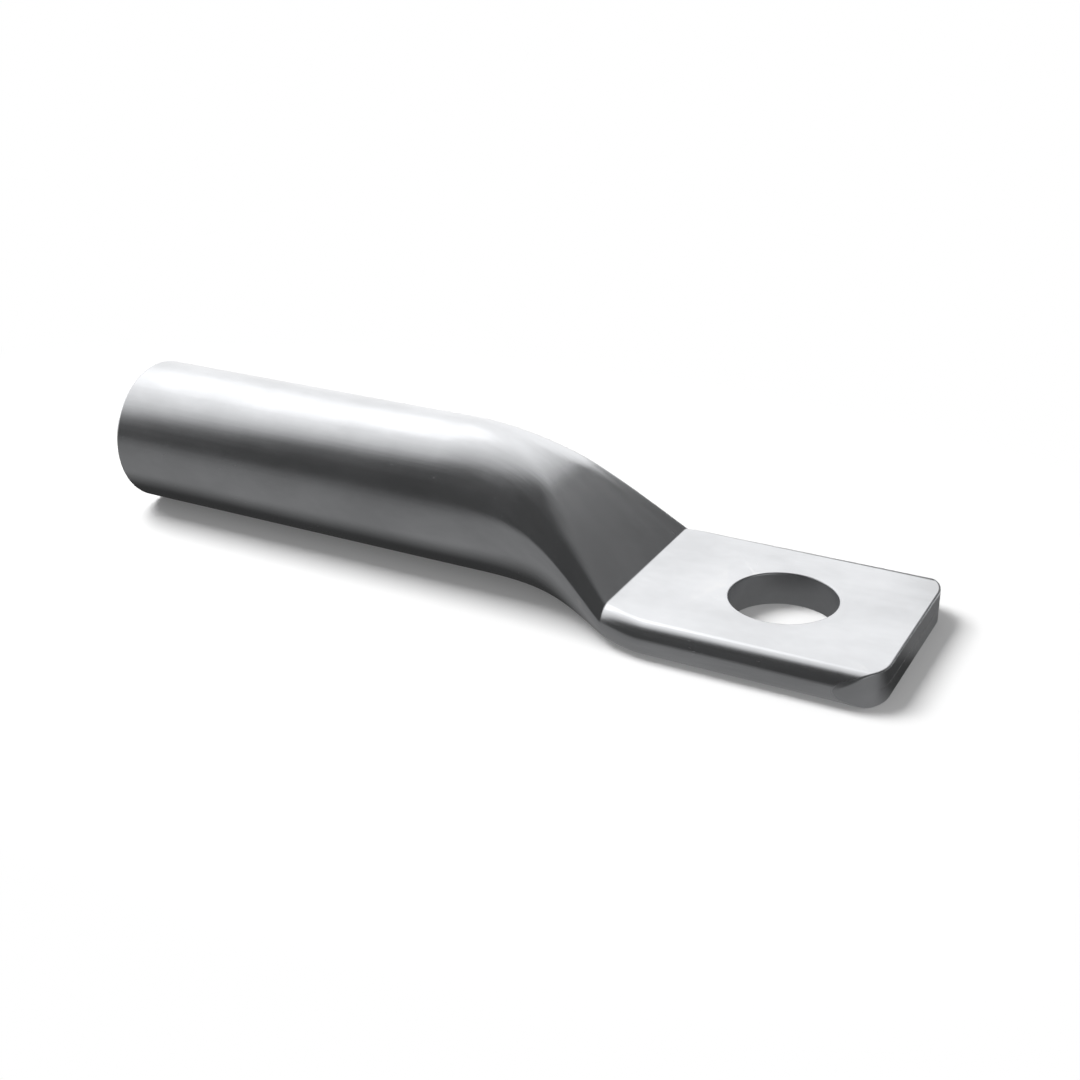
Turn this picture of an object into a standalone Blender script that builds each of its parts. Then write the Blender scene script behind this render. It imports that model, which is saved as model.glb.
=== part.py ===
"""Aluminium tubular lug: a length of round tube, open at one end for the cable, with its other
end pressed flat into a palm that is drilled for a stud.

Lengths are in metres. X runs along the lug from the open mouth to the end of the palm, Z is up,
and the lug lies on its flat underside at Z = 0. The middle of its length is at X = 0.
"""
from math import cos, pi, radians, sin, sqrt, tan

import bmesh
import bpy

# Barrel: the round tube that takes the cable
BARREL_DIAMETER = 0.0160
BARREL_WALL = 0.0019
BARREL_LENGTH = 0.0417          # from the mouth to where the press starts to bite
MOUTH_OUTER_BREAK = 0.0003      # small bevel on the mouth's outer edge
MOUTH_INNER_BREAK = 0.0005      # lead-in for the cable's strands

# Pressed transition: a rounded shoulder, then a plain slope down to the crease
SHOULDER_RADIUS = 0.0195
SLOPE_ANGLE = radians(39.8)
CREASE_CORNER_WIDTH = 0.0018    # how far the slope's side corners reach in, at the crease
CREASE_CORNER_HEIGHT = 0.0016   # and how far they drop
SLIT_HEIGHT = 0.0003            # the bore's last opening, where its walls close on each other

# Palm: the flat end that is bolted down
PALM_LENGTH = 0.0280            # from the crease to the cut end
PALM_WIDTH = 0.0240
PALM_THICKNESS = 0.0036
PALM_HEEL_RISE = 0.0003         # how much thicker the palm is at the crease
PALM_SETTLING_LENGTH = 0.0046   # past the crease, until the palm has its true width and height
PALM_CORNER_RADIUS = 0.0042
STUD_HOLE_DIAMETER = 0.0108
STUD_HOLE_TO_END = 0.0133       # from the hole's centre to the cut end
STUD_HOLE_BREAK = 0.0002        # bevel on the hole's two rims

# How fast the section changes while it is pressed: 1 keeps step, more is faster or later
TOP_CORNER_RATE = 3.2           # the slope's corners get low
TOP_FLAT_RATE = 1.25            # the slope's flat gets wide
SIDE_SPREAD_RATE = 1.7          # the sides move out
UNDERSIDE_FLAT_RATE = 1.8       # the underside gets flat
FLAT_SETTLED = 0.3              # share of the pressing after which a flat has straight edges

# Facets
QUARTER_STEPS = 16              # points in a quarter of a section
SHOULDER_STEPS = 10
SLOPE_STEPS = 10
SETTLING_STEPS = 8
BARREL_STEPS = 3
HOLE_STEPS = 48
CORNER_STEPS = 10
CUTTER_MARGIN = 0.0010          # how far a cutter runs past what it cuts

# Sizes that follow from those above
BARREL_RADIUS = BARREL_DIAMETER / 2
FOLD_RADIUS = PALM_THICKNESS / 2
SHOULDER_RUN = SHOULDER_RADIUS * sin(SLOPE_ANGLE)
SHOULDER_DROP = SHOULDER_RADIUS * (1 - cos(SLOPE_ANGLE))
SLOPE_DROP = BARREL_DIAMETER - SHOULDER_DROP - PALM_THICKNESS - PALM_HEEL_RISE
SLOPE_RUN = SLOPE_DROP / tan(SLOPE_ANGLE)
CREASE_X = BARREL_LENGTH + SHOULDER_RUN + SLOPE_RUN
SETTLED_X = CREASE_X + PALM_SETTLING_LENGTH
OVERALL_LENGTH = CREASE_X + PALM_LENGTH
STUD_HOLE_X = OVERALL_LENGTH - STUD_HOLE_TO_END

LUG_NAME = "tubular_lug"


def ease(share):
    """Smooth step from 0 to 1, level at both ends."""
    share = min(max(share, 0.0), 1.0)
    return share * share * (3 - 2 * share)


def mix(start, end, share):
    return start + (end - start) * share


def settled(x):
    """How far the palm has come to its true width and height at x: 0 at the crease, then 1."""
    return ease((x - CREASE_X) / PALM_SETTLING_LENGTH)


def top_line(x, depth):
    """Height of the lug's top line at x, or of the line that runs at a depth below its skin."""
    shoulder_centre = BARREL_DIAMETER - SHOULDER_RADIUS
    radius = SHOULDER_RADIUS - depth
    run = x - BARREL_LENGTH
    if run <= 0:
        return BARREL_DIAMETER - depth
    if run < radius * sin(SLOPE_ANGLE):
        return shoulder_centre + sqrt(radius ** 2 - run ** 2)
    slope_top = shoulder_centre + radius * cos(SLOPE_ANGLE)
    slope = slope_top - (run - radius * sin(SLOPE_ANGLE)) * tan(SLOPE_ANGLE)
    palm_top = PALM_THICKNESS + PALM_HEEL_RISE * (1 - settled(x))
    return max(slope, palm_top - depth)


def section(x, depth):
    """Points (y, z) round the section at x, from its top centre by the +Y side.

    The section lies at a depth below the outer skin: 0 is the skin, and the wall's thickness
    is the bore.
    """
    height = top_line(x, 0.0)
    pressed = (BARREL_DIAMETER - height) / (BARREL_DIAMETER - PALM_THICKNESS)
    spread = (x - BARREL_LENGTH) / (SETTLED_X - BARREL_LENGTH)
    spread = min(max(spread, 0.0), 1.0)

    half_width = mix(BARREL_RADIUS, PALM_WIDTH / 2, ease(spread ** SIDE_SPREAD_RATE))
    corner_height = mix(CREASE_CORNER_HEIGHT, BARREL_RADIUS, (1 - pressed) ** TOP_CORNER_RATE)
    corner_height = mix(corner_height, FOLD_RADIUS, settled(x))
    corner_width = mix(CREASE_CORNER_WIDTH, half_width, (1 - pressed) ** TOP_FLAT_RATE)
    corner_width = mix(corner_width, FOLD_RADIUS, settled(x))
    under_flat = ease(spread) ** UNDERSIDE_FLAT_RATE
    under_corner_width = mix(half_width, FOLD_RADIUS, under_flat)

    # The same form, drawn in by the depth on every side
    bottom = depth
    top = top_line(x, depth)
    inner_width = half_width - depth
    width_scale = inner_width / half_width
    height_scale = (top - bottom) / height
    corner_height *= height_scale
    corner_width *= width_scale
    under_corner_width *= width_scale
    under_corner_height = top - bottom - corner_height

    quarter = []
    for step in range(1, QUARTER_STEPS + 1):
        round_angle = pi / 2 * (1 - step / QUARTER_STEPS)
        flat_angle = pi / 2 * (1 - (step - 1) / (QUARTER_STEPS - 1))
        quarter.append((round_angle, flat_angle))
    top_settled = ease(pressed / FLAT_SETTLED)
    under_settled = ease(under_flat / FLAT_SETTLED)

    side = [(0.0, top)]
    for round_angle, flat_angle in quarter:
        angle = mix(round_angle, flat_angle, top_settled)
        y = inner_width - corner_width + corner_width * cos(angle)
        side.append((y, top - corner_height + corner_height * sin(angle)))
    for round_angle, flat_angle in reversed(quarter[:-1]):
        angle = mix(round_angle, flat_angle, under_settled)
        y = inner_width - under_corner_width + under_corner_width * cos(angle)
        side.append((y, bottom + under_corner_height * (1 - sin(angle))))
    side.append((0.0, bottom))
    return side + [(-y, z) for y, z in reversed(side[1:-1])]


def evenly(start, end, steps):
    """The places between start and end, without start and with end."""
    return [mix(start, end, step / steps) for step in range(1, steps + 1)]


def skin_stations():
    """Places along the outer skin where a section is set."""
    stations = evenly(MOUTH_OUTER_BREAK, BARREL_LENGTH, BARREL_STEPS)
    stations += evenly(BARREL_LENGTH, BARREL_LENGTH + SHOULDER_RUN, SHOULDER_STEPS)
    stations += evenly(BARREL_LENGTH + SHOULDER_RUN, CREASE_X, SLOPE_STEPS)
    stations += evenly(CREASE_X, SETTLED_X, SETTLING_STEPS)
    return [MOUTH_OUTER_BREAK] + stations + [OVERALL_LENGTH]


def bore_stations():
    """Places along the bore where a section is set, from the mouth to where it closes."""
    slope_start = BARREL_LENGTH + (SHOULDER_RADIUS - BARREL_WALL) * sin(SLOPE_ANGLE)
    roof_drop = top_line(slope_start, BARREL_WALL) - BARREL_WALL - SLIT_HEIGHT
    bore_end = slope_start + roof_drop / tan(SLOPE_ANGLE)
    stations = evenly(MOUTH_INNER_BREAK, BARREL_LENGTH, BARREL_STEPS)
    stations += evenly(BARREL_LENGTH, slope_start, SHOULDER_STEPS)
    stations += evenly(slope_start, bore_end, SLOPE_STEPS)
    return [MOUTH_INNER_BREAK] + stations


def add_ring(mesh, x, depth):
    return [mesh.verts.new((x, y, z)) for y, z in section(x, depth)]


def add_skin(mesh, rings):
    """Faces between each ring and the next."""
    for ring, following in zip(rings, rings[1:]):
        count = len(ring)
        for index in range(count):
            after = (index + 1) % count
            mesh.faces.new((ring[index], ring[after], following[after], following[index]))


def finish_object(name, mesh, sharp_angle):
    """Turn a bmesh into a named object, with its faces out and its round parts shaded smooth."""
    bmesh.ops.recalc_face_normals(mesh, faces=mesh.faces[:])
    data = bpy.data.meshes.new(name)
    mesh.to_mesh(data)
    mesh.free()
    data.shade_smooth()
    data.set_sharp_from_angle(angle=sharp_angle)
    made = bpy.data.objects.new(name, data)
    made.location.x = -OVERALL_LENGTH / 2
    bpy.context.collection.objects.link(made)
    return made


def pressed_tube():
    """The tube with its pressed end, as one closed skin from the mouth in and the palm out."""
    mesh = bmesh.new()
    outside = [add_ring(mesh, 0.0, MOUTH_OUTER_BREAK)]
    outside += [add_ring(mesh, x, 0.0) for x in skin_stations()]
    inside = [add_ring(mesh, 0.0, BARREL_WALL - MOUTH_INNER_BREAK)]
    inside += [add_ring(mesh, x, BARREL_WALL) for x in bore_stations()]
    add_skin(mesh, outside)
    add_skin(mesh, inside)
    add_skin(mesh, [outside[0], inside[0]])
    mesh.faces.new(outside[-1])
    mesh.faces.new(inside[-1])
    return finish_object(LUG_NAME, mesh, radians(30))


def stud_drill():
    """Cutter for the stud hole, flared where it leaves the palm so that both rims are bevelled."""
    radius = STUD_HOLE_DIAMETER / 2
    flare = STUD_HOLE_BREAK + CUTTER_MARGIN
    profile = [
        (radius + flare, -CUTTER_MARGIN),
        (radius, STUD_HOLE_BREAK),
        (radius, PALM_THICKNESS - STUD_HOLE_BREAK),
        (radius + flare, PALM_THICKNESS + CUTTER_MARGIN),
    ]
    mesh = bmesh.new()
    points = [mesh.verts.new((STUD_HOLE_X + r, 0.0, z)) for r, z in profile]
    edges = [mesh.edges.new(pair) for pair in zip(points, points[1:])]
    bmesh.ops.spin(mesh, geom=points + edges, cent=(STUD_HOLE_X, 0.0, 0.0), axis=(0.0, 0.0, 1.0),
                   angle=2 * pi, steps=HOLE_STEPS, use_merge=True, use_duplicate=False)
    bmesh.ops.holes_fill(mesh, edges=mesh.edges[:])
    return finish_object("stud_drill", mesh, radians(30))


def corner_punch(side):
    """Cutter that rounds one corner of the palm's cut end, on the +Y side or the -Y side."""
    corner_x = OVERALL_LENGTH
    corner_y = PALM_WIDTH / 2
    centre_x = corner_x - PALM_CORNER_RADIUS
    centre_y = corner_y - PALM_CORNER_RADIUS
    outline = []
    for step in range(CORNER_STEPS + 1):
        angle = pi / 2 * step / CORNER_STEPS
        outline.append((centre_x + PALM_CORNER_RADIUS * cos(angle),
                        centre_y + PALM_CORNER_RADIUS * sin(angle)))
    outline.append((centre_x, corner_y + CUTTER_MARGIN))
    outline.append((corner_x + CUTTER_MARGIN, corner_y + CUTTER_MARGIN))
    outline.append((corner_x + CUTTER_MARGIN, centre_y))
    mesh = bmesh.new()
    floor = mesh.faces.new([mesh.verts.new((x, side * y, -CUTTER_MARGIN)) for x, y in outline])
    raised = bmesh.ops.extrude_face_region(mesh, geom=[floor])["geom"]
    lifted = [item for item in raised if isinstance(item, bmesh.types.BMVert)]
    bmesh.ops.translate(mesh, verts=lifted, vec=(0.0, 0.0, PALM_THICKNESS + 2 * CUTTER_MARGIN))
    return finish_object("corner_punch", mesh, radians(30))


def cut(body, cutter):
    """Take a cutter away from the body, and keep it out of sight."""
    cutter.hide_render = True
    cutter.display_type = "WIRE"
    step = body.modifiers.new(cutter.name, "BOOLEAN")
    step.operation = "DIFFERENCE"
    step.solver = "EXACT"
    step.object = cutter


def aluminium():
    """Plain bright aluminium, as drawn and pressed."""
    material = bpy.data.materials.new("aluminium")
    material.use_nodes = True
    shader = material.node_tree.nodes["Principled BSDF"]
    shader.inputs["Base Color"].default_value = (0.80, 0.81, 0.83, 1.0)
    shader.inputs["Metallic"].default_value = 1.0
    shader.inputs["Roughness"].default_value = 0.28
    return material


def main():
    for thing in list(bpy.data.objects):
        bpy.data.objects.remove(thing, do_unlink=True)
    lug = pressed_tube()
    lug.data.materials.append(aluminium())
    cut(lug, stud_drill())
    for side in (1, -1):
        cut(lug, corner_punch(side))


main()
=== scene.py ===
"""Looks of the aluminium tubular lug, laid out as an add-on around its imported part.

Lengths are in metres, in the part's own frame. X runs from the barrel's open mouth to the palm's
cut end, Z is up, and the lug lies on the floor at Z = 0.
"""

from math import acos, asin, cos, pi, radians, sin, sqrt, tan

import bmesh
import bpy
from bpy.props import FloatProperty, FloatVectorProperty, PointerProperty
from mathutils import Matrix, Vector


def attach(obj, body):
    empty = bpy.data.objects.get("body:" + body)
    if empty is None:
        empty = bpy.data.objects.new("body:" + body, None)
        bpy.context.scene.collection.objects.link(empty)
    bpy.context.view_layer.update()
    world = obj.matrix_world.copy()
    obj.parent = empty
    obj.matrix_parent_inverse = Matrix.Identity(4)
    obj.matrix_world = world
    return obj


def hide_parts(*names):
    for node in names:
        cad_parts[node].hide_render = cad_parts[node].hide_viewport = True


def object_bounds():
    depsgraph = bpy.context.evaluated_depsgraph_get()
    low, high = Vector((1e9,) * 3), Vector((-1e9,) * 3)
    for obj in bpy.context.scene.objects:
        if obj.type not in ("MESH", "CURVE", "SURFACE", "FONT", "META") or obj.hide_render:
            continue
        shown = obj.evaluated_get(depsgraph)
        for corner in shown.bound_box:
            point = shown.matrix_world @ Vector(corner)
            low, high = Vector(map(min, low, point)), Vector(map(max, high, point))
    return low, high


bl_info = {
    "name": "Tubular Cable Lug",
    "version": (1, 0, 0),
    "blender": (4, 5, 0),
    "location": "3D View > Sidebar > Lug",
    "description": "Dresses the pressed aluminium lug and sets it on a pale studio floor",
    "category": "Add Mesh",
}

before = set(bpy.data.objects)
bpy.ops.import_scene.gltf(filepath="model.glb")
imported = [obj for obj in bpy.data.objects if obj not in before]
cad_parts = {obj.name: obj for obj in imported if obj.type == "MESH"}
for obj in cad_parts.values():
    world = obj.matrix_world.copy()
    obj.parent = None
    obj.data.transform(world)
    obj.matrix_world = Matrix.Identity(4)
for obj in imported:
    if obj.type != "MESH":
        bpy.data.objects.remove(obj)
CAD_LOW, CAD_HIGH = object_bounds()

NODE_NAME = "tubular_lug"
DRAWN_PLACE = "drawn_place"     # the attribute that keeps a point's place in the round tube
SIZE_SLACK = 0.00005            # how far the form may be from the part, in metres

# Facets of the finished surface
FOLD_POINTS = 22                # points over a fold, from the palm's flat to its outermost line
ROUND_POINTS = 6                # points over the small round of a sheared edge
WALL_POINTS = 5                 # points from that round to the middle of the palm's thickness
QUARTER_POINTS = FOLD_POINTS + ROUND_POINTS + WALL_POINTS
BREAK_STEPS = 5
BARREL_STEPS = 12
SHOULDER_STEPS = 28
SLOPE_STEPS = 36
CREASE_STEPS = 8
SETTLING_STEPS = 24
CORNER_STEPS = 24
END_STEPS = 6
HOLE_STEPS = 128
RIM_STEPS = 6
FLAT_AREA = 0.00003             # square metres: a level face past this is one of the palm's flats
FLAT_BORDER = 0.0004
LEVEL = 0.99999                 # least rise or fall of a level face's normal
SHARP_ANGLE = radians(30)

SKIN, BORE, CUT = range(3)      # the lug's material slots

# Grain of the aluminium: sizes along the tube and across it
BROAD_LINES = (3, 5, 5)         # how much larger the broad draw lines are than the finest
SAW_LINES = 5                   # how much shorter a saw line is than a draw line
CLOUD_SIZE = (0.011, 0.006, 0.006)
SPECK_SIZE = (0.0007, 0.0007, 0.0007)
GRAIN_FINENESS = 0.6            # how much each finer layer of a noise counts
SCRATCHES_ALONG = ((0.05, 0.10, 0.14), 0.009, 0.00009, 0.004)   # turn, length, width, share
SCRATCHES_ACROSS = ((0.3, -0.2, 0.95), 0.005, 0.00008, 0.002)
SCRATCH_PROFILE = (0.25, 0.45)  # in widths from its middle: where its floor ends, and its side

# What grain and wear do to the aluminium
CLOUD_RANGE = (0.35, 0.65)      # noise of the dullest and of the clearest metal
EDGE_RANGE = (0.53, 0.60)       # pointiness where the rubbing starts and where it is full
WORN_RANGE = (0.40, 0.60)       # noise of the least and of the most rubbed specks
LEAST_WORN = 0.2
RUBBED_GREY = 0.93
RUBBED_SHARE = 0.8              # how far a rubbed edge's colour goes towards that grey
BROAD_GLOSS = 0.10              # these four are added to the roughness
CLOUD_GLOSS = 0.06
RUBBED_GLOSS = -0.06
SCRATCH_GLOSS = 0.12
MEAN_GLOSS = 0.08               # what lines and clouds add on the whole
BROAD_HEIGHT = 2.0              # these three are in heights of the finest lines
SPECK_HEIGHT = 0.2
SCRATCH_HEIGHT = -1.0

# Camera, floor and light
CLIP_START = 0.01
WHITE = (1.0, 1.0, 1.0, 1.0)
FLOOR_RADIUS = 3.0
DISC_STEPS = 96
FLOOR_OVAL = (0.55, 1.0, 1.0)   # squeezes the floor's places, so that the grey part is an oval
FLOOR_FADE = (0.034, 0.065)     # from its centre: where the oval starts to whiten, and its end
# Painted highlight: a paler patch in the white that only the metal mirrors, set apart from the
# lamp, which the metal does not see
PAINTED_HIGHLIGHT_PATCH = (-48.0, 54.0, 32.0, 8.0)    # azimuth, elevation, outer and inner angle, in degrees

# Hood and cards, which glow and which only the metal mirrors: their greys are painted
# reflections. A stop is a place, in the surface's own unit, and its grey
HOOD_STEPS = 128
HOOD_EDGE = 0.66                # where the hood ends, in radii towards its bright side
HOOD_REFLECTION_STOPS = ((0.0, 0.045), (0.10, 0.04), (0.24, 0.045), (0.285, 0.08), (0.325, 0.29),
              (0.36, 0.46), (0.42, 0.60), (0.50, 0.77), (0.58, 0.92), (HOOD_EDGE, 1.0))
HOOD_PAINTED_HIGHLIGHTS = ((37.0, 30.0, 22.0, 4.0, 0.09),      # as the painted highlight patch, and then the strength
                (118.0, 12.0, 38.0, 5.0, 0.32))
CARD_UNIT = 0.1
CARD_LIFT = 0.00005             # off the floor
FRONT_CARD_EDGE = 0.016         # its straight edge, along Y
# Painted shadow and reflection: darkest under the lug's front, where the floor would lie in its
# shade, and palest just before it
FRONT_CARD_SHADE_STOPS = ((0.0, 0.15), (0.14, 0.13), (0.17, 0.035), (0.22, 0.035), (0.26, 0.20),
                    (0.46, 0.165), (1.0, 0.10))
SIDE_CARD_LEFT = -0.030
SIDE_CARD_LENGTH = 0.150
SIDE_CARD_NEAR = 0.055          # its edges along Y: the flag stands on the far one
SIDE_CARD_FAR = 0.120
# Painted reflection: palest towards the mouth, and dark from the slope on
SIDE_CARD_REFLECTION_STOPS = ((0.0, 1.0), (0.10, 0.70), (0.20, 0.30), (0.34, 0.13), (1.0, 0.10))
FLAG_CORNERS = ((0.0, 0.0), (SIDE_CARD_LENGTH, 0.0), (SIDE_CARD_LENGTH, 0.060),
                (0.100, 0.064), (0.076, 0.080), (0.059, 0.076), (0.059, 0.060),
                (0.046, 0.044))     # low where the palm would mirror it


def length_setting(name, description, default):
    return FloatProperty(name=name, description=description, default=default, min=0.0,
                         precision=5, subtype="DISTANCE", unit="LENGTH")


def share_setting(name, description, default, highest=1.0):
    return FloatProperty(name=name, description=description, default=default, min=0.0,
                         max=highest)


def colour_setting(name, description, default):
    return FloatVectorProperty(name=name, description=description, default=default, size=3,
                               min=0.0, max=1.0, subtype="COLOR")


class BarrelSettings(bpy.types.PropertyGroup):
    """Sizes of the round tube that takes the cable."""

    diameter: length_setting("Diameter", "Outside diameter of the tube",
                             CAD_HIGH.z - CAD_LOW.z)
    wall: length_setting("Wall", "Thickness of the tube's wall", 0.0019)
    length: length_setting("Length", "From the mouth to where the press starts to bite", 0.0417)
    outer_break: length_setting("Outer Break", "Round on the mouth's outer edge", 0.0003)
    inner_break: length_setting("Inner Break", "Lead-in for the cable's strands", 0.0005)


class PressSettings(bpy.types.PropertyGroup):
    """Sizes of the transition that the press leaves between the barrel and the palm."""

    shoulder_radius: length_setting("Shoulder Radius", "Bend from the barrel's top to the slope",
                                    0.0195)
    slope_angle: FloatProperty(name="Slope Angle", description="Fall of the plain slope",
                               default=radians(39.8), subtype="ANGLE", unit="ROTATION")
    crease_radius: length_setting("Crease Radius", "Inside round where slope and palm meet",
                                  0.0004)
    corner_width: length_setting("Corner Width", "How far the slope's corners reach in", 0.0018)
    corner_height: length_setting("Corner Height", "How far the slope's corners drop", 0.0016)
    slit_height: length_setting("Slit Height", "The bore's last opening", 0.0003)
    top_corner_rate: share_setting("Top Corner Rate", "How early the slope's corners get low",
                                   3.2, 5.0)
    top_flat_rate: share_setting("Top Flat Rate", "How early the slope's flat gets wide",
                                 1.25, 5.0)
    side_spread_rate: share_setting("Side Spread Rate", "How late the sides move out", 1.7, 5.0)
    under_flat_rate: share_setting("Underside Flat Rate", "How late the underside gets flat",
                                   1.8, 5.0)
    flat_settled: share_setting("Flat Settled", "Pressing after which a flat has straight edges",
                                0.3)


class PalmSettings(bpy.types.PropertyGroup):
    """Sizes of the flat end that is bolted down."""

    length: length_setting("Length", "From the crease to the cut end", 0.0280)
    width: length_setting("Width", "Across the two folds", CAD_HIGH.y - CAD_LOW.y)
    thickness: length_setting("Thickness", "The two pressed walls together", 0.0036)
    heel_rise: length_setting("Heel Rise", "How much thicker the palm is at the crease", 0.0003)
    settling_length: length_setting("Settling Length", "Past the crease, to the true width",
                                    0.0046)
    corner_radius: length_setting("Corner Radius", "Plan radius of the two corners", 0.0042)
    edge_round: length_setting("Edge Round", "Round on the sheared edges", 0.00022)
    hole_diameter: length_setting("Hole Diameter", "The stud's hole", 0.0108)
    hole_to_end: length_setting("Hole To End", "From the hole's centre to the cut end", 0.0133)
    hole_round: length_setting("Hole Round", "Round on the hole's two rims", 0.0002)
    fold_line_depth: length_setting("Fold Line Depth", "Hairline where the walls meet", 0.00005)


class LugSettings(bpy.types.PropertyGroup):
    """All sizes of the lug."""

    barrel: PointerProperty(type=BarrelSettings)
    press: PointerProperty(type=PressSettings)
    palm: PointerProperty(type=PalmSettings)


class FinishSettings(bpy.types.PropertyGroup):
    """Colours, gloss and wear of the aluminium."""

    skin_colour: colour_setting("Skin", "Drawn and pressed surface", (0.80, 0.81, 0.83))
    bore_colour: colour_setting("Bore", "Inside of the barrel", (0.66, 0.67, 0.69))
    cut_colour: colour_setting("Cut", "Sawn, sheared and punched faces", (0.72, 0.73, 0.75))
    skin_roughness: share_setting("Skin Roughness", "Gloss of the drawn surface", 0.21)
    bore_roughness: share_setting("Bore Roughness", "Gloss inside the barrel", 0.38)
    cut_roughness: share_setting("Cut Roughness", "Gloss of the cut faces", 0.33)
    line_width: length_setting("Line Width", "Breadth of the finest draw lines", 0.00014)
    line_length: length_setting("Line Length", "How far a draw line runs", 0.030)
    line_depth: length_setting("Line Depth", "Depth of the draw lines", 0.000003)
    scratches: share_setting("Scratches", "How clearly the handling scratches show", 0.5)
    edge_wear: share_setting("Edge Wear", "How bright the rubbed edges are", 0.6)
    tarnish: share_setting("Tarnish", "Strength of the faint clouds in the oxide", 0.07)


class StageSettings(bpy.types.PropertyGroup):
    """Camera, floor and lights."""

    aim: FloatVectorProperty(name="Aim", description="Point in the middle of the picture",
                             default=(0.00383, 0.00235, 0.00278), subtype="XYZ",
                             unit="LENGTH", precision=5)
    azimuth: FloatProperty(name="Azimuth", description="Camera's angle round the lug",
                           default=radians(28.70), subtype="ANGLE", unit="ROTATION")
    elevation: FloatProperty(name="Elevation", description="Camera's angle above the floor",
                             default=radians(25.34), subtype="ANGLE", unit="ROTATION")
    roll: FloatProperty(name="Roll", description="Camera's turn about its own line of sight",
                        default=radians(-0.86), subtype="ANGLE", unit="ROTATION")
    distance: length_setting("Distance", "From the camera to the aim", 0.1682)
    lens: FloatProperty(name="Lens", description="Focal length in millimetres", default=52.1)
    floor_colour: colour_setting("Floor", "Pale floor", (0.90, 0.90, 0.90))
    floor_white: share_setting("Floor White", "White mixed into the floor near the lug", 0.10)
    sky_light: share_setting("Sky Light", "Even light from all round, as a share of the whole",
                             0.35)
    lamp_light: share_setting("Lamp Light", "Light of the lamp, as a share of the whole", 0.75)
    lamp_azimuth: FloatProperty(name="Lamp Azimuth", description="Side that the lamp is on",
                                default=radians(-88.0), subtype="ANGLE", unit="ROTATION")
    lamp_elevation: FloatProperty(name="Lamp Elevation", description="Height of the lamp",
                                  default=radians(52.0), subtype="ANGLE", unit="ROTATION")
    lamp_distance: length_setting("Lamp Distance", "From the lug to the lamp", 0.90)
    lamp_size: length_setting("Lamp Size", "Side of the square lamp", 0.45)
    hood_radius: length_setting("Hood Radius", "Dark hood over the camera's side", 0.60)
    bright_azimuth: FloatProperty(name="Bright Azimuth", description="Side the hood is open to",
                                  default=radians(-54.8), subtype="ANGLE", unit="ROTATION")
    bright_elevation: FloatProperty(name="Bright Elevation", description="Height of the opening",
                                    default=radians(12.0), subtype="ANGLE", unit="ROTATION")
    # Painted highlight: glow added to the white that only glossy rays see
    painted_highlight: share_setting("Painted Highlight", "What the lamp adds to the white that metal mirrors",
                             0.40)


def ease(share):
    """Smooth step from 0 to 1, level at both ends."""
    share = min(max(share, 0.0), 1.0)
    return share * share * (3 - 2 * share)


def mix(start, end, share):
    return start + (end - start) * share


def evenly(start, end, steps):
    """The places between start and end, without start and with end."""
    return [mix(start, end, step / steps) for step in range(1, steps + 1)]


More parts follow.
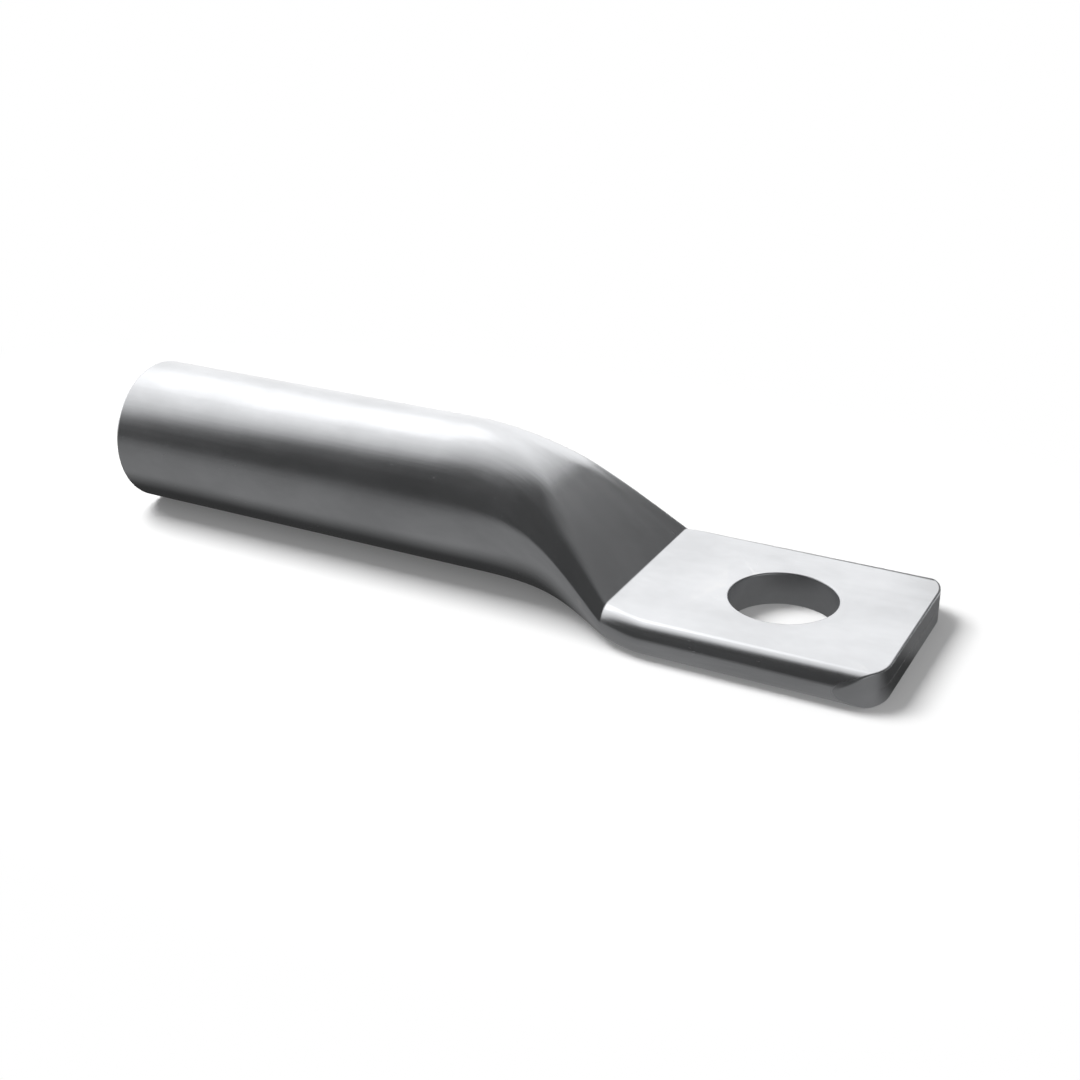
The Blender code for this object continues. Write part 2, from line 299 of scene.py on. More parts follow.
class TubeForm:
    """The pressed tube's form, worked out from its sizes. Here x is measured from the mouth."""

    def __init__(self, lug):
        self.barrel = lug.barrel
        self.press = lug.press
        self.palm = lug.palm
        angle = self.press.slope_angle
        self.radius = self.barrel.diameter / 2
        self.fold_radius = self.palm.thickness / 2
        self.shoulder_run = self.press.shoulder_radius * sin(angle)
        shoulder_drop = self.press.shoulder_radius * (1 - cos(angle))
        slope_drop = self.barrel.diameter - shoulder_drop - self.palm.thickness
        slope_drop -= self.palm.heel_rise
        self.crease_x = self.barrel.length + self.shoulder_run + slope_drop / tan(angle)
        self.settled_x = self.crease_x + self.palm.settling_length
        self.length = self.crease_x + self.palm.length
        self.hole_x = self.length - self.palm.hole_to_end
        self.flat_half_width = self.palm.width / 2 - self.fold_radius

    def settled(self, x):
        """How far the palm has come to its true width and height at x: 0 at the crease."""
        return ease((x - self.crease_x) / self.palm.settling_length)

    def top_line(self, x, depth):
        """Height of the top line at x, or of the line that runs at a depth below its skin."""
        angle = self.press.slope_angle
        radius = self.press.shoulder_radius - depth
        shoulder_centre = self.barrel.diameter - self.press.shoulder_radius
        run = x - self.barrel.length
        if run <= 0:
            return self.barrel.diameter - depth
        if run < radius * sin(angle):
            return shoulder_centre + sqrt(radius ** 2 - run ** 2)
        palm_top = self.palm.thickness + self.palm.heel_rise * (1 - self.settled(x)) - depth
        crease_start, crease_end = self.crease_round()
        if depth == 0 and crease_start < x < crease_end:
            round_radius = self.press.crease_radius
            return palm_top + round_radius - sqrt(round_radius ** 2 - (crease_end - x) ** 2)
        slope = shoulder_centre + radius * cos(angle) - (run - radius * sin(angle)) * tan(angle)
        return max(slope, palm_top)

    def crease_round(self):
        """Where the crease's small round starts on the slope and ends on the palm."""
        angle = self.press.slope_angle
        tangent = self.press.crease_radius * tan(angle / 2)
        return self.crease_x - tangent * cos(angle), self.crease_x + tangent

    def spread(self, x):
        """How far the sides have moved out at x, from 0 on the barrel to 1 on the palm."""
        share = (x - self.barrel.length) / (self.settled_x - self.barrel.length)
        return min(max(share, 0.0), 1.0)

    def half_width(self, x):
        share = ease(self.spread(x) ** self.press.side_spread_rate)
        return mix(self.radius, self.palm.width / 2, share)

    def drawn_place(self, x, y, z):
        """Where a point of the lug lay in the round tube, before the press bit."""
        height = max(self.top_line(x, 0.0), self.palm.thickness)
        return (x, y / self.half_width(x) * self.radius,
                (z / height * 2 - 1) * self.radius)

    def section(self, x, depth):
        """Points (y, z) round the section at x, from its top centre by the +Y side."""
        barrel, press, palm = self.barrel, self.press, self.palm
        height = self.top_line(x, 0.0)
        pressed = (barrel.diameter - height) / (barrel.diameter - palm.thickness)
        pressed = min(max(pressed, 0.0), 1.0)
        settled = self.settled(x)
        half_width = self.half_width(x)
        corner_height = mix(press.corner_height, self.radius,
                            (1 - pressed) ** press.top_corner_rate)
        corner_height = mix(corner_height, self.fold_radius, settled)
        corner_width = mix(press.corner_width, half_width, (1 - pressed) ** press.top_flat_rate)
        corner_width = mix(corner_width, self.fold_radius, settled)
        under_flat = ease(self.spread(x)) ** press.under_flat_rate
        under_corner_width = mix(half_width, self.fold_radius, under_flat)

        # The same form, drawn in by the depth on every side
        bottom = depth
        top = self.top_line(x, depth)
        inner_width = half_width - depth
        width_scale = inner_width / half_width
        corner_height *= (top - bottom) / height
        corner_width *= width_scale
        under_corner_width *= width_scale
        under_corner_height = top - bottom - corner_height
        top_settled = ease(pressed / press.flat_settled)
        under_settled = ease(under_flat / press.flat_settled)

        side = [(0.0, top)]
        for round_angle, flat_angle in self.quarter():
            angle = mix(round_angle, flat_angle, top_settled)
            y = inner_width - corner_width + corner_width * cos(angle)
            side.append((y, top - corner_height + corner_height * sin(angle)))
        for round_angle, flat_angle in reversed(self.quarter()[:-1]):
            angle = mix(round_angle, flat_angle, under_settled)
            y = inner_width - under_corner_width + under_corner_width * cos(angle)
            side.append((y, bottom + under_corner_height * (1 - sin(angle))))
        side.append((0.0, bottom))
        return side + [(-y, z) for y, z in reversed(side[1:-1])]

    def quarter(self):
        """Angles of a quarter's points, on a round section and on one that is pressed flat.

        On a flat one, the last points crowd together where the sheared corner begins.
        """
        tip = asin(self.palm.edge_round / 2 / self.fold_radius)
        flat = [pi / 2] + evenly(pi / 2, tip, FOLD_POINTS - 1)
        flat += evenly(tip, 0.0, QUARTER_POINTS - FOLD_POINTS)
        return list(zip(evenly(pi / 2, 0.0, QUARTER_POINTS), flat))

    def sheared_edge(self, turn):
        """Points (inset, height) over the palm's sheared edge, from its flat top to its flat
        underside, where the edge has turned by this angle from the side to the end."""
        middle = self.palm.thickness / 2
        corner = self.palm.corner_radius

        def rise(inset):
            """Height of the palm's skin over the middle of its thickness."""
            y = self.palm.width / 2 - corner + (corner - inset) * cos(turn)
            past_flat = max(y - self.flat_half_width, 0.0)
            return sqrt(self.fold_radius ** 2 - past_flat ** 2)

        edge = rise(0.0)
        round_off = min(self.palm.edge_round, edge / 2)
        fold_end = acos(1 - round_off / self.fold_radius)
        half = []
        for angle in [pi / 2] + evenly(pi / 2, fold_end, FOLD_POINTS - 1):
            inset = self.fold_radius * (1 - cos(angle))
            half.append((inset, rise(inset)))
        inset_start, rise_start = half[-1]
        for share in evenly(0.0, 1.0, ROUND_POINTS):
            near, between, far = (1 - share) ** 2, 2 * share * (1 - share), share ** 2
            half.append((near * inset_start,
                         near * rise_start + between * edge + far * (edge - round_off)))
        line = self.palm.fold_line_depth
        half += [(0.0, height) for height in evenly(edge - round_off, line, WALL_POINTS - 1)]
        edge_y = self.palm.width / 2 - corner * (1 - cos(turn))
        line_share = ease((self.flat_half_width - edge_y) / self.fold_radius)
        half.append((line * line_share, 0.0))
        lower = [(inset, -height) for inset, height in reversed(half[:-1])]
        return [(inset, middle + height) for inset, height in half + lower]

    def skin_stations(self):
        """Places along the outer skin where a section is set, up to the palm's corners."""
        shoulder_start = self.barrel.length
        slope_start = shoulder_start + self.shoulder_run
        crease_start, crease_end = self.crease_round()
        corner_start = self.length - self.palm.corner_radius
        stations = evenly(self.barrel.outer_break, shoulder_start, BARREL_STEPS)
        stations += evenly(shoulder_start, slope_start, SHOULDER_STEPS)
        stations += evenly(slope_start, crease_start, SLOPE_STEPS)
        stations += evenly(crease_start, crease_end, CREASE_STEPS)
        stations += evenly(crease_end, self.settled_x, SETTLING_STEPS)
        return stations + [corner_start]

    def bore_stations(self):
        """Places along the bore where a section is set, from the lead-in to where it closes."""
        wall = self.barrel.wall
        slope_start = self.barrel.length
        slope_start += (self.press.shoulder_radius - wall) * sin(self.press.slope_angle)
        roof_drop = self.top_line(slope_start, wall) - wall - self.press.slit_height
        bore_end = slope_start + roof_drop / tan(self.press.slope_angle)
        stations = evenly(self.barrel.inner_break, self.barrel.length, BARREL_STEPS)
        stations += evenly(self.barrel.length, slope_start, SHOULDER_STEPS)
        return stations + evenly(slope_start, bore_end, SLOPE_STEPS)


class TubeMesh:
    """Builds the lug's skin from the rings and columns of its form."""

    def __init__(self, form):
        self.form = form
        self.mesh = bmesh.new()

    def ring(self, x, depth):
        return [self.mesh.verts.new((x, y, z)) for y, z in self.form.section(x, depth)]

    def strip(self, line, following, material, closed):
        """Faces between two lines of points, in the order of the points."""
        count = len(line)
        faces = []
        for index in range(count if closed else count - 1):
            after = (index + 1) % count
            faces.append(self.mesh.faces.new((line[index], line[after],
                                              following[after], following[index])))
            faces[-1].material_index = material
        return faces

    def rings(self, rings, material):
        for ring, following in zip(rings, rings[1:]):
            self.strip(ring, following, material, True)

    def mouth(self):
        """Rings over the mouth's outer round and over its lead-in, from the mouth's face in."""
        barrel = self.form.barrel
        outside, inside = [], []
        for angle in [0.0] + evenly(0.0, pi / 2, BREAK_STEPS):
            run, fall = 1 - cos(angle), 1 - sin(angle)
            outside.append(self.ring(barrel.outer_break * run, barrel.outer_break * fall))
            inside.append(self.ring(barrel.inner_break * run,
                                    barrel.wall - barrel.inner_break * fall))
        return outside, inside

    def column(self, centre_x, centre_y, turn, side):
        """Points over the sheared edge, at one place along the palm's outline."""
        radius = self.form.palm.corner_radius
        points = []
        for inset, z in self.form.sheared_edge(turn):
            reach = radius - inset
            points.append(self.mesh.verts.new((centre_x + reach * sin(turn),
                                               side * (centre_y + reach * cos(turn)), z)))
        return points

    def palm_end(self, last_ring):
        """The palm's rounded corners, cut end and flats, on from the last whole ring."""
        form = self.form
        centre_x = form.length - form.palm.corner_radius
        centre_y = form.palm.width / 2 - form.palm.corner_radius
        side_count = 2 * QUARTER_POINTS - 1
        near_side = last_ring[1:side_count + 1]
        far_side = [last_ring[-index] for index in range(1, side_count + 1)]
        turns = evenly(0.0, pi / 2, CORNER_STEPS)
        columns = [near_side]
        columns += [self.column(centre_x, centre_y, turn, 1) for turn in turns]
        for y in evenly(centre_y, -centre_y, END_STEPS)[:-1]:
            columns.append(self.column(centre_x, y, pi / 2, 1))
        columns += [self.column(centre_x, centre_y, turn, -1) for turn in reversed(turns)]
        columns.append(far_side)
        wall = slice(FOLD_POINTS - 1, -(FOLD_POINTS - 1))
        for column, following in zip(columns, columns[1:]):
            for face in self.strip(column, following, SKIN, False)[wall]:
                face.material_index = CUT
        self.mesh.faces.new([column[0] for column in columns] + [last_ring[0]])
        under_centre = last_ring[side_count + 1]
        self.mesh.faces.new([column[-1] for column in columns] + [under_centre])

    def build(self):
        """The closed skin: mouth, outside, palm end and bore."""
        form = self.form
        outer_mouth, inner_mouth = self.mouth()
        outside = outer_mouth + [self.ring(x, 0.0) for x in form.skin_stations()]
        inside = inner_mouth + [self.ring(x, form.barrel.wall) for x in form.bore_stations()]
        self.rings(outside, SKIN)
        self.rings(inside, BORE)
        self.rings([outer_mouth[0], inner_mouth[0]], CUT)
        self.palm_end(outside[-1])
        self.mesh.faces.new(inside[-1]).material_index = BORE
        bmesh.ops.recalc_face_normals(self.mesh, faces=self.mesh.faces[:])
        return self.mesh


def new_object(name, data):
    """Link a new object with this data to the scene."""
    made = bpy.data.objects.new(name, data)
    bpy.context.scene.collection.objects.link(made)
    return made


def from_bmesh(name, mesh):
    """A named object from a bmesh, which is used up."""
    data = bpy.data.meshes.new(name)
    mesh.to_mesh(data)
    mesh.free()
    return new_object(name, data)


def lug_piece(name, mesh, form):
    """A smooth object from a bmesh, placed with the middle of the lug's length at X = 0."""
    bmesh.ops.translate(mesh, verts=mesh.verts[:], vec=(-form.length / 2, 0.0, 0.0))
    made = from_bmesh(name, mesh)
    made.data.shade_smooth()
    return made


def stud_drill(form):
    """Cutter for the stud's hole, with rounded rims."""
    radius = form.palm.hole_diameter / 2
    thickness = form.palm.thickness
    rim = form.palm.hole_round
    upper = []
    for angle in evenly(0.0, pi / 2, RIM_STEPS):
        upper.append((radius + rim * (1 - cos(angle)), thickness - rim * (1 - sin(angle))))
    upper.append((upper[-1][0] + rim, thickness + rim))
    half = [(radius, thickness - rim)] + upper
    profile = [(r, thickness - z) for r, z in reversed(half)] + half
    mesh = bmesh.new()
    points = [mesh.verts.new((form.hole_x + r, 0.0, z)) for r, z in profile]
    edges = [mesh.edges.new(pair) for pair in zip(points, points[1:])]
    bmesh.ops.spin(mesh, geom=points + edges, cent=(form.hole_x, 0.0, 0.0),
                   axis=(0.0, 0.0, 1.0), angle=2 * pi, steps=HOLE_STEPS, use_merge=True,
                   use_duplicate=False)
    bmesh.ops.holes_fill(mesh, edges=mesh.edges[:])
    bmesh.ops.recalc_face_normals(mesh, faces=mesh.faces[:])
    for face in mesh.faces:
        face.material_index = CUT
    return lug_piece("stud_drill", mesh, form)


def drilled(body, cutter):
    """Cut the body with the cutter, keep the result as plain mesh and remove the cutter."""
    step = body.modifiers.new("drill", "BOOLEAN")
    step.operation = "DIFFERENCE"
    step.solver = "EXACT"
    step.object = cutter
    whole = body.data
    evaluated = body.evaluated_get(bpy.context.evaluated_depsgraph_get())
    body.data = bpy.data.meshes.new_from_object(evaluated)
    body.modifiers.remove(step)
    bpy.data.meshes.remove(whole)
    bpy.data.objects.remove(cutter, do_unlink=True)


def border_flats(body, width):
    """Set a narrow border along the edges of the palm's two large flats, so that what is worked
    out at their corner points stays near the edges."""
    mesh = bmesh.new()
    mesh.from_mesh(body.data)
    flats = [face for face in mesh.faces
             if abs(face.normal.z) > LEVEL and face.calc_area() > FLAT_AREA]
    bmesh.ops.inset_region(mesh, faces=flats, thickness=width, use_even_offset=True)
    mesh.to_mesh(body.data)
    mesh.free()


def add_node(tree, kind, inputs, **settings):
    """Add a node, set its options, and set or link its inputs."""
    made = tree.nodes.new("ShaderNode" + kind)
    for name, value in settings.items():
        setattr(made, name, value)
    for name, value in inputs.items():
        if isinstance(value, bpy.types.NodeSocket):
            tree.links.new(value, made.inputs[name])
        else:
            made.inputs[name].default_value = value
    return made


def new_material(name):
    """An empty material and its node tree."""
    material = bpy.data.materials.new(name)
    material.use_nodes = True
    material.node_tree.nodes.clear()
    return material, material.node_tree


def grain_noise(tree, place, size, detail):
    """Noise whose grains have this size, in metres, along each axis."""
    scaled = add_node(tree, "VectorMath", {0: place, 1: [1 / side for side in size]},
                      operation="MULTIPLY")
    noise = add_node(tree, "TexNoise", {"Vector": scaled.outputs["Vector"], "Scale": 1.0,
                                        "Detail": detail, "Roughness": GRAIN_FINENESS})
    return noise.outputs["Fac"]


def spread_range(tree, value, low, high, to_low, to_high, curve="LINEAR"):
    """Map low..high to to_low..to_high, and hold the ends."""
    made = add_node(tree, "MapRange", {"Value": value, "From Min": low, "From Max": high,
                                       "To Min": to_low, "To Max": to_high},
                    interpolation_type=curve)
    return made.outputs["Result"]


def calculate(tree, operation, *values):
    return add_node(tree, "Math", dict(enumerate(values)), operation=operation).outputs[0]


def add_up(tree, total, *parts):
    """A total plus each part's value times its factor."""
    for value, factor in parts:
        total = calculate(tree, "MULTIPLY_ADD", value, factor, total)
    return total


def blend(tree, share, low_colour, high_colour):
    """Colour between two, by a share. The node's colours are its inputs 6 and 7, and output 2."""
    made = add_node(tree, "Mix", {0: share, 6: low_colour, 7: high_colour}, data_type="RGBA")
    return made.outputs[2]


def scratch_lines(tree, place, turn, length, width, share):
    """Thin straight scratches: 1 in a scratch, 0 beside it.

    Each lies in a long thin cell, turned this way about X, Y and Z, and only this share of the
    cells holds one.
    """
    turned = add_node(tree, "VectorRotate", {"Vector": place, "Rotation": turn},
                      rotation_type="EULER_XYZ")
    scaled = add_node(tree, "VectorMath", {0: turned.outputs["Vector"],
                                           1: (1 / length, 1 / width, 1 / width)},
                      operation="MULTIPLY")
    cells = add_node(tree, "TexVoronoi", {"Vector": scaled.outputs["Vector"], "Scale": 1.0})
    line = spread_range(tree, cells.outputs["Distance"], *SCRATCH_PROFILE, 1.0, 0.0)
    draw = add_node(tree, "SeparateColor", {"Color": cells.outputs["Color"]}).outputs["Red"]
    return calculate(tree, "MULTIPLY", line, calculate(tree, "LESS_THAN", draw, share))


def aluminium(name, colour, roughness, finish, grain, lay):
    """Bare aluminium with its grain, clouds, scratches and rubbed edges.

    The grain gives the size of its finest lines along the axes of the place, and the lay is
    the attribute or coordinate that holds that place.
    """
    material, tree = new_material(name)
    if lay == DRAWN_PLACE:
        place = add_node(tree, "Attribute", {}, attribute_name=lay).outputs["Vector"]
    else:
        place = add_node(tree, "TexCoord", {}).outputs[lay]
    fine = grain_noise(tree, place, grain, detail=2.0)
    broad_grain = [size * times for size, times in zip(grain, BROAD_LINES)]
    broad = grain_noise(tree, place, broad_grain, detail=3.0)
    cloud = grain_noise(tree, place, CLOUD_SIZE, detail=4.0)
    speck = grain_noise(tree, place, SPECK_SIZE, detail=3.0)
    scratch = calculate(tree, "MAXIMUM", scratch_lines(tree, place, *SCRATCHES_ALONG),
                        scratch_lines(tree, place, *SCRATCHES_ACROSS))
    edge = add_node(tree, "NewGeometry", {}).outputs["Pointiness"]
    rubbed = calculate(tree, "MULTIPLY", spread_range(tree, edge, *EDGE_RANGE, 0.0, 1.0),
                       spread_range(tree, speck, *WORN_RANGE, LEAST_WORN, 1.0))
    rubbed = calculate(tree, "MULTIPLY", rubbed, finish.edge_wear)

    dull = [part * (1 - finish.tarnish) for part in colour] + [1.0]
    clear = [min(part * (1 + finish.tarnish), 1.0) for part in colour] + [1.0]
    bright = [mix(part, RUBBED_GREY, RUBBED_SHARE) for part in colour] + [1.0]
    tone = blend(tree, spread_range(tree, cloud, *CLOUD_RANGE, 0.0, 1.0), dull, clear)
    tone = blend(tree, rubbed, tone, bright)

    gloss = add_up(tree, roughness - MEAN_GLOSS, (broad, BROAD_GLOSS), (cloud, CLOUD_GLOSS),
                   (rubbed, RUBBED_GLOSS), (scratch, SCRATCH_GLOSS * finish.scratches))
    height = add_up(tree, fine, (broad, BROAD_HEIGHT),
                    (scratch, SCRATCH_HEIGHT * finish.scratches), (speck, SPECK_HEIGHT))
    bump = add_node(tree, "Bump", {"Height": height, "Strength": 1.0,
                                   "Distance": finish.line_depth})
    shader = add_node(tree, "BsdfPrincipled", {"Base Color": tone, "Metallic": 1.0,
                                               "Roughness": gloss,
                                               "Normal": bump.outputs["Normal"]})
    add_node(tree, "OutputMaterial", {"Surface": shader.outputs["BSDF"]})
    return material


def lay_out_grain(tube, form):
    """Keep, with each point of the skin, its place in the round tube, so that the draw lines
    run on down the slope as the pressed metal does."""
    layer = tube.data.attributes.new(DRAWN_PLACE, "FLOAT_VECTOR", "POINT")
    for point, kept in zip(tube.data.vertices, layer.data):
        x, y, z = point.co
        kept.vector = form.drawn_place(x + form.length / 2, y, z)


class LUG_OT_pressed_tube(bpy.types.Operator):
    """Builds the pressed tube with its drilled palm and its aluminium finish"""

    bl_idname = "lug.pressed_tube"
    bl_label = "Pressed Tube"

    def execute(self, context):
        form = TubeForm(context.scene.lug_sizes)
        if abs(form.length - (CAD_HIGH.x - CAD_LOW.x)) > SIZE_SLACK:
            raise ValueError("the sizes give a lug of %.5f m, unlike its part" % form.length)
        finish = context.scene.lug_finish
        tube = lug_piece("pressed_tube", TubeMesh(form).build(), form)
        lines = (finish.line_length, finish.line_width, finish.line_width)
        saw_lines = (finish.line_width, finish.line_width, finish.line_length / SAW_LINES)
        for made in (aluminium("drawn_aluminium", finish.skin_colour, finish.skin_roughness,
                               finish, lines, DRAWN_PLACE),
                     aluminium("bore_aluminium", finish.bore_colour, finish.bore_roughness,
                               finish, lines, DRAWN_PLACE),
                     aluminium("cut_aluminium", finish.cut_colour, finish.cut_roughness,
                               finish, saw_lines, "Object")):
            tube.data.materials.append(made)
        cutter = stud_drill(form)
        for material in tube.data.materials:
            cutter.data.materials.append(material)
        drilled(tube, cutter)
        border_flats(tube, FLAT_BORDER)
        lay_out_grain(tube, form)
        tube.data.set_sharp_from_angle(angle=SHARP_ANGLE)
        normals = tube.modifiers.new("flat_faces_first", "WEIGHTED_NORMAL")
        normals.keep_sharp = True
        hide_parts(NODE_NAME)
        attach(tube, "root")
        return {"FINISHED"}


def mirrored_only(thing):
    """Leave a board to the metal's reflections: the camera and the floor don't see it."""
    thing.visible_camera = False
    thing.visible_diffuse = False
    thing.visible_shadow = False
    thing.visible_volume_scatter = False


def towards(azimuth, elevation):
    """Unit vector towards an azimuth, which is 0 along +Y and 90 along +X, and an elevation."""
    return Vector((sin(azimuth) * cos(elevation), cos(azimuth) * cos(elevation),
                   sin(elevation)))


def add_camera(stage):
    data = bpy.data.cameras.new("camera")
    data.lens = stage.lens
    data.clip_start = CLIP_START
    camera = new_object("camera", data)
    turn = Matrix.Rotation(stage.azimuth, 4, "Z")
    turn @= Matrix.Rotation(pi / 2 - stage.elevation, 4, "X")
    turn @= Matrix.Rotation(stage.roll, 4, "Z")
    back = Matrix.Translation((0.0, 0.0, stage.distance))
    camera.matrix_world = Matrix.Translation(stage.aim) @ turn @ back
    bpy.context.scene.camera = camera


def background_ray(tree):
    """1 where the camera, a glossy surface or a clear one looks at the background, else 0."""
    path = add_node(tree, "LightPath", {})
    seen = calculate(tree, "MAXIMUM", path.outputs["Is Camera Ray"],
                     path.outputs["Is Glossy Ray"])
    return calculate(tree, "MAXIMUM", seen, path.outputs["Is Transmission Ray"])


def grey_ramp(tree, value, stops):
    """Grey that follows a value by (place, grey) stops."""
    made = add_node(tree, "ValToRGB", {"Fac": value})
    elements = made.color_ramp.elements
    elements[0].position = stops[0][0]
    elements[1].position = stops[-1][0]
    for position, grey in stops[1:-1]:
        elements.new(position)
    for element, (position, grey) in zip(elements, stops):
        element.color = (grey, grey, grey, 1.0)
    return made.outputs["Color"]


def soft_patch(tree, direction, azimuth, elevation, outer, inner, strength):
    """Light of full strength up to the inner angle from its centre, which fades to none at the
    outer one. The angles are in degrees."""
    centre = towards(radians(azimuth), radians(elevation))
    facing = add_node(tree, "VectorMath", {0: direction, 1: centre}, operation="DOT_PRODUCT")
    return spread_range(tree, facing.outputs["Value"], cos(radians(outer)), cos(radians(inner)),
                        0.0, strength, "SMOOTHSTEP")


def glowing(name, stops, unit, direction, patches=()):
    """A board's own light: grey by how far along a direction it is, in this unit, with any paler
    patches on top."""
    material, tree = new_material(name)
    where = add_node(tree, "TexCoord", {}).outputs["Object"]
    along = add_node(tree, "VectorMath", {0: where, 1: direction / unit},
                     operation="DOT_PRODUCT")
    light = grey_ramp(tree, along.outputs["Value"], stops)
    if patches:
        outwards = add_node(tree, "VectorMath", {0: where}, operation="NORMALIZE")
    for patch in patches:
        light = calculate(tree, "ADD", light,
                          soft_patch(tree, outwards.outputs["Vector"], *patch))
    glow = add_node(tree, "Emission", {"Color": light, "Strength": 1.0})
    add_node(tree, "OutputMaterial", {"Surface": glow.outputs["Emission"]})
    return material


def add_world(stage):
    """White room: even light on the floor, and in the metal a white with a painted highlight, a
    paler patch that only glossy rays see.
    """
    world = bpy.data.worlds.new("white_room")
    world.use_nodes = True
    tree = world.node_tree
    tree.nodes.clear()
    direction = add_node(tree, "TexCoord", {}).outputs["Generated"]
    # Painted highlight: a paler patch of the white, for glossy rays only
    glow = soft_patch(tree, direction, *PAINTED_HIGHLIGHT_PATCH, stage.painted_highlight)
    mirrored = add_node(tree, "LightPath", {}).outputs["Is Glossy Ray"]
    glow = calculate(tree, "MULTIPLY", glow, mirrored)
    seen = spread_range(tree, background_ray(tree), 0.0, 1.0, stage.sky_light, 1.0)
    background = add_node(tree, "Background", {"Color": WHITE,
                                               "Strength": calculate(tree, "ADD", seen, glow)})
    add_node(tree, "OutputWorld", {"Surface": background.outputs["Background"]})
    bpy.context.scene.world = world


def new_sheet(name, corners):
    """A flat sheet with these corners."""
    mesh = bmesh.new()
    mesh.faces.new([mesh.verts.new((x, y, 0.0)) for x, y in corners])
    return from_bmesh(name, mesh)


def round_corners(radius, turns):
    """Corners of a round sheet, one at each turn."""
    return [(radius * cos(turn), radius * sin(turn)) for turn in turns]


def add_floor(stage):
    """Pale floor that keeps the lug's shadow, and is plain white away from it."""
    floor = new_sheet("floor", round_corners(FLOOR_RADIUS, evenly(0.0, 2 * pi, DISC_STEPS)))
    material, tree = new_material("pale_floor")
    paint = add_node(tree, "BsdfDiffuse", {"Color": (*stage.floor_colour, 1.0)})
    white = add_node(tree, "Emission", {"Color": WHITE, "Strength": 1.0})
    where = add_node(tree, "TexCoord", {}).outputs["Object"]
    oval = add_node(tree, "VectorMath", {0: where, 1: FLOOR_OVAL}, operation="MULTIPLY")
    away = add_node(tree, "VectorMath", {0: oval.outputs["Vector"]}, operation="LENGTH")
    share = spread_range(tree, away.outputs["Value"], *FLOOR_FADE, stage.floor_white, 1.0,
                         "SMOOTHSTEP")
    seen = calculate(tree, "MULTIPLY", share, background_ray(tree))
    both = add_node(tree, "MixShader", {"Fac": seen, 1: paint.outputs["BSDF"],
                                        2: white.outputs["Emission"]})
    add_node(tree, "OutputMaterial", {"Surface": both.outputs["Shader"]})
    floor.data.materials.append(material)


def add_lamp(stage):
    """The one lamp, which casts the lug's shadow. Its power makes a white floor as bright as the
    lamp's share says."""
    side = towards(stage.lamp_azimuth, stage.lamp_elevation)
    data = bpy.data.lights.new("lamp", "AREA")
    data.size = stage.lamp_size
    data.energy = 4 * pi * stage.lamp_light * stage.lamp_distance ** 2 / side.z
    lamp = new_object("lamp", data)
    lamp.location = side * stage.lamp_distance
    lamp.rotation_euler = side.to_track_quat("Z", "Y").to_euler()
    lamp.visible_glossy = False


def add_hood(stage):
    """Glowing hood over the camera's side, which only the metal sees: a painted reflection that
    fades into the white background on the lamp's side, with paler patches of painted highlight.
    """
    bright = towards(stage.bright_azimuth, stage.bright_elevation)
    mesh = bmesh.new()
    bmesh.ops.create_uvsphere(mesh, u_segments=HOOD_STEPS, v_segments=HOOD_STEPS // 2,
                              radius=stage.hood_radius)
    below_floor = (Vector(), Vector((0.0, 0.0, -1.0)))
    past_edge = (bright * HOOD_EDGE * stage.hood_radius, bright)
    for point, normal in (below_floor, past_edge):
        bmesh.ops.bisect_plane(mesh, geom=mesh.verts[:] + mesh.edges[:] + mesh.faces[:],
                               plane_co=point, plane_no=normal, clear_outer=True)
    hood = from_bmesh("reflection_hood", mesh)
    # Painted reflection: the hood's graded glow, with patches of painted highlight
    hood.data.materials.append(glowing("hood_painted_reflection", HOOD_REFLECTION_STOPS, stage.hood_radius, bright,
                                       HOOD_PAINTED_HIGHLIGHTS))
    mirrored_only(hood)


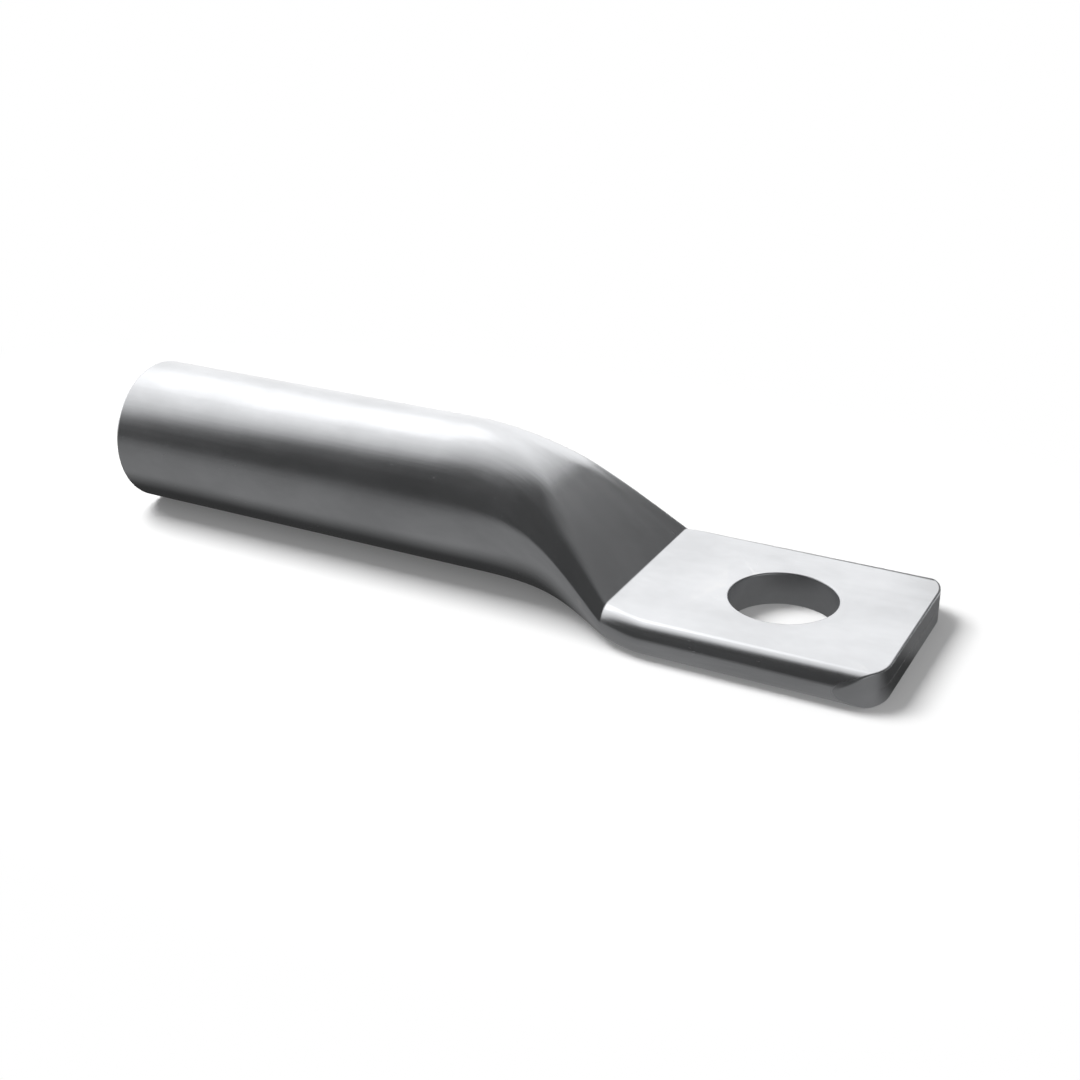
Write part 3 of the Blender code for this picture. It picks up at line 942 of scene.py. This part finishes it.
def add_cards(stage):
    """Glowing grey cards on the floor, which only the lug's lower sides mirror: painted
    reflections. The front one is dark under the lug, a painted shadow, and palest just before it.
    The side one, with a flag that stands up behind it, keeps the slope's far edge dark as a
    painted reflection."""
    half_turn = [pi] + evenly(pi, 2 * pi, DISC_STEPS // 2)
    front = new_sheet("front_card", round_corners(stage.hood_radius, half_turn))
    front.location = (0.0, FRONT_CARD_EDGE, CARD_LIFT)
    # Painted shadow under the lug, and painted floor reflection before it
    front.data.materials.append(glowing("front_card_painted_shadow", FRONT_CARD_SHADE_STOPS, CARD_UNIT,
                                        Vector((0.0, -1.0, 0.0))))
    side = new_sheet("side_card", [(0.0, SIDE_CARD_NEAR), (SIDE_CARD_LENGTH, SIDE_CARD_NEAR),
                                   (SIDE_CARD_LENGTH, SIDE_CARD_FAR), (0.0, SIDE_CARD_FAR)])
    side.location = (SIDE_CARD_LEFT, 0.0, CARD_LIFT)
    flag = new_sheet("side_flag", FLAG_CORNERS)
    flag.location = (SIDE_CARD_LEFT, SIDE_CARD_FAR, 0.0)
    flag.rotation_euler.x = pi / 2
    # Painted reflection shared by the side card and its flag
    grey = glowing("side_card_painted_reflection", SIDE_CARD_REFLECTION_STOPS, CARD_UNIT, Vector((1.0, 0.0, 0.0)))
    for card in (side, flag):
        card.data.materials.append(grey)
    for card in (front, side, flag):
        mirrored_only(card)


class LUG_OT_stage(bpy.types.Operator):
    """Sets the lug on a pale floor under soft light, with the camera at its viewing angle"""

    bl_idname = "lug.stage"
    bl_label = "Stage"

    def execute(self, context):
        stage = context.scene.lug_stage
        add_camera(stage)
        add_world(stage)
        add_floor(stage)
        add_lamp(stage)
        add_hood(stage)
        add_cards(stage)
        context.scene.view_settings.view_transform = "Standard"
        return {"FINISHED"}


class LUG_PT_sidebar(bpy.types.Panel):
    """Lists the lug's sizes and the steps that build it"""

    bl_label = "Tubular Cable Lug"
    bl_space_type = "VIEW_3D"
    bl_region_type = "UI"
    bl_category = "Lug"

    def draw(self, context):
        layout = self.layout
        for group in (context.scene.lug_sizes.barrel, context.scene.lug_sizes.press,
                      context.scene.lug_sizes.palm, context.scene.lug_finish,
                      context.scene.lug_stage):
            box = layout.box()
            for name in group.__annotations__:
                box.prop(group, name)
        layout.operator(LUG_OT_pressed_tube.bl_idname)
        layout.operator(LUG_OT_stage.bl_idname)


CLASSES = (BarrelSettings, PressSettings, PalmSettings, LugSettings, FinishSettings,
           StageSettings, LUG_OT_pressed_tube, LUG_OT_stage, LUG_PT_sidebar)


def register():
    for item in CLASSES:
        bpy.utils.register_class(item)
    bpy.types.Scene.lug_sizes = PointerProperty(type=LugSettings)
    bpy.types.Scene.lug_finish = PointerProperty(type=FinishSettings)
    bpy.types.Scene.lug_stage = PointerProperty(type=StageSettings)


def unregister():
    del bpy.types.Scene.lug_sizes
    del bpy.types.Scene.lug_finish
    del bpy.types.Scene.lug_stage
    for item in reversed(CLASSES):
        bpy.utils.unregister_class(item)


def main():
    register()
    bpy.ops.lug.pressed_tube()
    bpy.ops.lug.stage()


if __name__ == "__main__":
    main()
